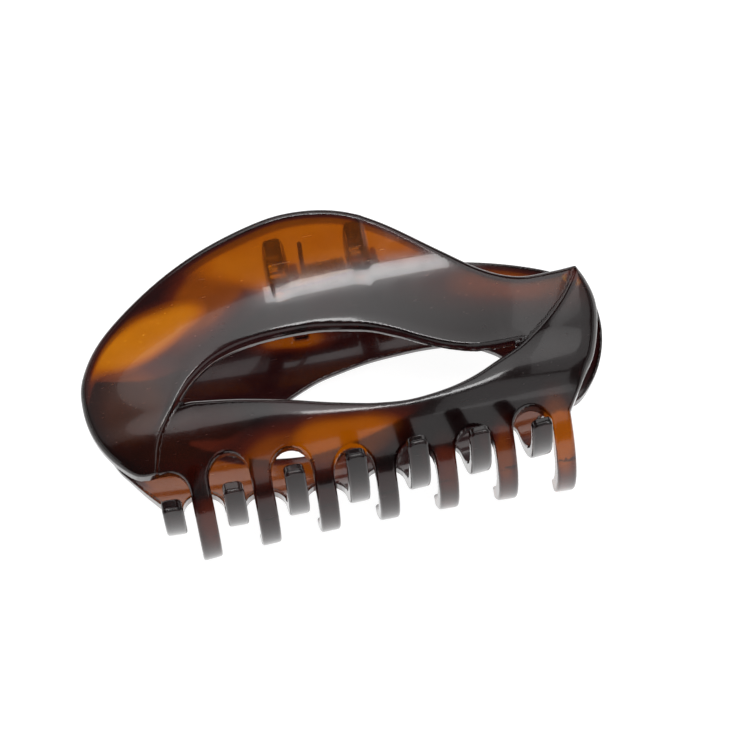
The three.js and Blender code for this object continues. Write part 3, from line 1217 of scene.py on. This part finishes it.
class Jaws:
    """Both jaws: one moulding, shown twice."""

    bodies = {Side.FRONT: "front_half", Side.REAR: "rear_half"}

    def __init__(self, form: JawForm, clip: ClipFrame) -> None:
        """Keeps the form and the place."""
        self.form = form
        self.clip = clip

    def build(self) -> list[bpy.types.Object]:
        """Moulds the jaws and dresses them.

        Returns:
            The front and the rear jaw.
        """
        mesh, outward = JawMoulding(self.form).moulded()
        clouds = {Side.FRONT: FRONT_CLOUDS, Side.REAR: REAR_CLOUDS}
        made = []
        for side in Side:
            name = f"{side.value}_moulding"
            skin = mesh.copy()
            skin.name = name
            move = self.clip.matrix(side)
            skin.transform(move)
            turned = outward @ np.array(move.to_3x3().normalized()).T
            turned /= np.maximum(np.linalg.norm(turned, axis=1), 1e-9)[:, None]
            skin.polygons.foreach_set("use_smooth", [True] * len(skin.polygons))
            skin.normals_split_custom_set_from_vertices(turned.tolist())
            plastic = Tortoiseshell(f"tortoiseshell_{side.name.lower()}", side, clouds[side])
            skin.materials.append(plastic.material(self.clip))
            jaw = shown(skin, name)
            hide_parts(side.value)
            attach(jaw, self.bodies[side])
            LOG.info("%s: %d faces", name, len(skin.polygons))
            made.append(jaw)
        bpy.data.meshes.remove(mesh)
        return made


class Hinge:
    """The pin and the torsion spring wound round it."""

    pin_sides = 64
    wire_sides = 14
    steps_a_turn = 44
    reach_rounds = 8
    pin_steel = DrawnSteel("pin_steel", (0.40, 0.39, 0.38), (0.20, 0.36), (1.0, 0.04, 0.04))
    wire_steel = DrawnSteel("spring_steel", (0.24, 0.24, 0.25), (0.24, 0.40), (0.3, 1.0, 1.0))

    def __init__(self, form: JawForm, clip: ClipFrame) -> None:
        """Keeps the form and the place.

        Args:
            form: The exact form of a jaw.
            clip: Where the jaws lie.
        """
        self.form = form
        self.clip = clip
        self.sizes = form.hinge

    def pin(self) -> bpy.types.Object:
        """A straight pin with rounded chamfers at both ends.

        Returns:
            The pin.
        """
        s = self.sizes
        bm = bmesh.new()
        rod = {"radius1": s.pin_radius, "radius2": s.pin_radius, "depth": 2 * s.pin_half}
        bmesh.ops.create_cone(bm, cap_ends=True, segments=self.pin_sides, **rod)
        rims = [e for e in bm.edges if abs(e.verts[0].co.z - e.verts[1].co.z) < 1e-6]
        rounded = {"segments": 4, "profile": 0.5, "affect": "EDGES", "material": -1}
        bmesh.ops.bevel(bm, geom=rims, offset=s.pin_chamfer, **rounded)
        along = Matrix.Translation((0, 0, self.form.hinge_z)) @ Matrix.Rotation(math.pi / 2, 4, "Y")
        piece = settled_object(bm, "hinge_pin_turned", self.clip.matrix() @ along)
        piece.data.materials.append(self.pin_steel.material())
        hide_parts("hinge_pin")
        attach(piece, "rear_half")
        LOG.info("hinge pin: %d faces", len(piece.data.polygons))
        return piece

    def _reach(self) -> float:
        """How long a leg of the spring is, to end just short of the jaw's inner face.

        Returns:
            The length.
        """
        s, form = self.sizes, self.form
        length = form.half / 4
        for _ in range(self.reach_rounds):
            tip_z = form.hinge_z - s.coil_radius * math.cos(s.leg_rise) + length * math.sin(s.leg_rise)
            z = np.array(tip_z - 2 * s.wire_radius)
            slope = float(form.face_slope(z))
            inner = float(form.face_depth(z)) - form.sweep * s.coil_half**2
            inner -= form.jaw.wall * math.sqrt(1 + slope**2)
            room = inner - s.coil_radius * math.sin(s.leg_rise) - s.wire_radius - s.spring_clearance
            length = room / math.cos(s.leg_rise)
        return length

    def spring(self) -> bpy.types.Object:
        """A torsion spring wound from one wire, with a leg on each jaw.

        Returns:
            The spring.
        """
        s = self.sizes
        hinge = Vector((0, 0, self.form.hinge_z))
        start = -math.pi / 2 - s.leg_rise
        sweep = 2 * math.pi * s.coil_turns + 2 * s.leg_rise
        steps = self.steps_a_turn * s.coil_turns
        round_pin = Vector((0, math.cos(start), math.sin(start))) * s.coil_radius
        first = hinge + Vector((-s.coil_half, 0, 0)) + round_pin
        onward = Vector((0, math.cos(s.leg_rise), -math.sin(s.leg_rise)))
        leg = self._reach()
        bm = bmesh.new()
        turn = onward.to_track_quat("Z", "X").to_matrix().to_4x4()
        tip = Matrix.Translation(first - onward * leg) @ turn
        section = {"segments": self.wire_sides, "radius": s.wire_radius}
        bmesh.ops.create_circle(bm, cap_ends=True, matrix=tip, **section)
        end = self._pushed(bm, bm.faces[:], onward * leg)
        left = hinge - Vector((s.coil_half, 0, 0))
        coil = {"axis": (1, 0, 0), "dvec": (2 * s.coil_half / steps, 0, 0), "angle": sweep, "steps": steps}
        made = bmesh.ops.spin(bm, geom=end, cent=left, **coil)
        last = [f for f in made["geom_last"] if isinstance(f, bmesh.types.BMFace)]
        self._pushed(bm, last, Vector((0, math.cos(s.leg_rise), math.sin(s.leg_rise))) * leg)
        bmesh.ops.delete(bm, geom=end + last, context="FACES_ONLY")
        piece = settled_object(bm, "spring_wire", self.clip.matrix())
        piece.data.materials.append(self.wire_steel.material())
        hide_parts("torsion_spring")
        near = self.clip.matrix() @ left
        far = self.clip.matrix() @ (hinge + Vector((s.coil_half, 0, 0)))
        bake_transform(piece)
        LOG.info("torsion spring: %d faces", len(piece.data.polygons))
        return piece

    @staticmethod
    def _pushed(bm: bmesh.types.BMesh, faces: Sequence[Any], way: Vector) -> list[bmesh.types.BMFace]:
        """Extrudes faces.

        Args:
            bm: The shape.
            faces: The faces.
            way: How far and which way they go.

        Returns:
            The faces at the new end.
        """
        made = bmesh.ops.extrude_face_region(bm, geom=faces)
        verts = [v for v in made["geom"] if isinstance(v, bmesh.types.BMVert)]
        bmesh.ops.translate(bm, verts=verts, vec=way)
        return [f for f in made["geom"] if isinstance(f, bmesh.types.BMFace)]


@dataclass(frozen=True)
class SoftBox:
    """A soft light over or beside the table, in metres and watts."""

    name: str
    place: tuple
    aim: tuple
    size: tuple
    power: float
    shape: str = "RECTANGLE"
    spread: float = 180.0

    def build(self) -> bpy.types.Object:
        """Hangs the light, out of the camera's sight.

        Returns:
            The light's object.
        """
        light = bpy.data.lights.new(self.name, "AREA")
        light.shape = self.shape
        light.size, light.size_y = self.size
        light.energy = self.power
        light.spread = math.radians(self.spread)
        lamp = bpy.data.objects.new(self.name, light)
        lamp.location = self.place
        away = Vector(self.aim) - Vector(self.place)
        lamp.rotation_euler = away.to_track_quat("-Z", "Y").to_euler()
        lamp.visible_camera = False
        bpy.context.scene.collection.objects.link(lamp)
        return lamp


class Studio:
    """The camera, the pale floor and the soft lights."""

    lights = (
        SoftBox("overhead_panel", (0.15, 0.35, 1.0), (0.15, 0.35, 0.0), (1.7, 1.1), 4.3, "ELLIPSE", 115.0),
        SoftBox("overhead_wing", (-0.93, 0.44, 1.02), (-0.93, 0.44, 0.0), (0.95, 0.64), 0.7),
        SoftBox("overhead_right_wing", (1.15, 0.25, 1.04), (1.15, 0.25, 0.0), (0.95, 1.1), 3.0),
        SoftBox("right_front_panel", (0.6, -0.58, 1.0), (0.6, -0.58, 0.0), (0.62, 0.5), 0.9),
        SoftBox("overhead_strip", (0.17, -0.14, 0.96), (0.17, -0.14, 0.0), (0.56, 0.105), 2.2),
        SoftBox("left_panel", (-1.3, 0.1, 0.32), (0, 0, 0.02), (1.4, 0.4), 1.2),
        SoftBox("right_panel", (1.3, 0.1, 0.32), (0, 0, 0.02), (1.4, 0.4), 0.8),
        SoftBox("back_panel", (0.0, 1.4, 0.45), (0, 0, 0.02), (1.6, 0.5), 4.0),
        SoftBox("front_panel", (0.35, -1.1, 0.8), (0, 0, 0.02), (1.8, 0.75), 4.0),
    )

    floor_size = 6.0
    floor_drop = 0.1 * MM
    room_light = 0.08

    camera_distance = 0.63275
    camera_azimuth = math.radians(-11.609)
    camera_elevation = math.radians(71.41)
    camera_roll = math.radians(-0.717)
    camera_aim = (3.96, 1.33, 0.0)
    lens = 157.5
    sensor = 36.0

    def floor(self) -> bpy.types.Object:
        """A wide pale table top that glows softly.

        Returns:
            The floor's object.
        """
        bm = bmesh.new()
        bmesh.ops.create_grid(bm, x_segments=4, y_segments=4, size=self.floor_size)
        plane = settled_object(bm, "pale_floor", Matrix.Translation((0, 0, -self.floor_drop)))
        finish = Finish("pale_floor")
        paper = {
            "Base Color": (0.25, 0.25, 0.25, 1),
            "Roughness": 0.8,
            "Specular IOR Level": 0.1,
            "Emission Color": (1.0, 1.0, 1.0, 1),
            "Emission Strength": 0.95,
        }
        plane.data.materials.append(finish.surface(paper))
        plane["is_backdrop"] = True
        return plane

    def camera(self, centre: Vector) -> bpy.types.Object:
        """The camera, high over the front edge and a little to the left.

        Args:
            centre: The middle of the object's box.

        Returns:
            The camera's object.
        """
        aim = centre + Vector(self.camera_aim) * MM
        along = math.cos(self.camera_elevation)
        back = Vector(
            (
                math.sin(self.camera_azimuth) * along,
                -math.cos(self.camera_azimuth) * along,
                math.sin(self.camera_elevation),
            )
        )
        data = bpy.data.cameras.new("camera")
        data.lens = self.lens
        data.sensor_width = self.sensor
        data.clip_start, data.clip_end = 0.01, 50.0
        camera = bpy.data.objects.new("camera", data)
        bpy.context.scene.collection.objects.link(camera)
        level = (-back).to_track_quat("-Z", "Y").to_matrix().to_4x4()
        rolled = level @ Matrix.Rotation(self.camera_roll, 4, "Z")
        camera.matrix_world = Matrix.Translation(aim + back * self.camera_distance) @ rolled
        bpy.context.scene.camera = camera
        return camera

    def world(self) -> None:
        """A faint light from all round."""
        world = bpy.data.worlds.new("dim_room")
        world.use_nodes = True
        air = world.node_tree.nodes["Background"]
        air.inputs["Color"].default_value = (1.0, 1.0, 1.0, 1)
        air.inputs["Strength"].default_value = self.room_light
        bpy.context.scene.world = world

    def build(self, centre: Vector) -> None:
        """Sets everything up, with a plain tone curve.

        Args:
            centre: The middle of the object's box.
        """
        bpy.context.scene.view_settings.view_transform = "Standard"
        self.world()
        self.floor()
        for light in self.lights:
            light.build()
        self.camera(centre)
        LOG.info("studio: %d lights", len(self.lights))


def main() -> None:
    """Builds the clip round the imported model, and the studio round the clip."""
    logging.basicConfig(level=logging.INFO)
    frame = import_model()
    packed_low, packed_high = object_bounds()
    hinge = Vector(frame["record"]["behaviour"]["joints"][0]["pos_m"])
    form = JawForm(JawSizes(), HingeSizes(), Outlines())
    clip = ClipFrame(hinge, form.hinge_z)
    Jaws(form, clip).build()
    works = Hinge(form, clip)
    works.pin()
    works.spring()
    Studio().build((packed_low + packed_high) / 2)


if __name__ == "__main__":
    main()
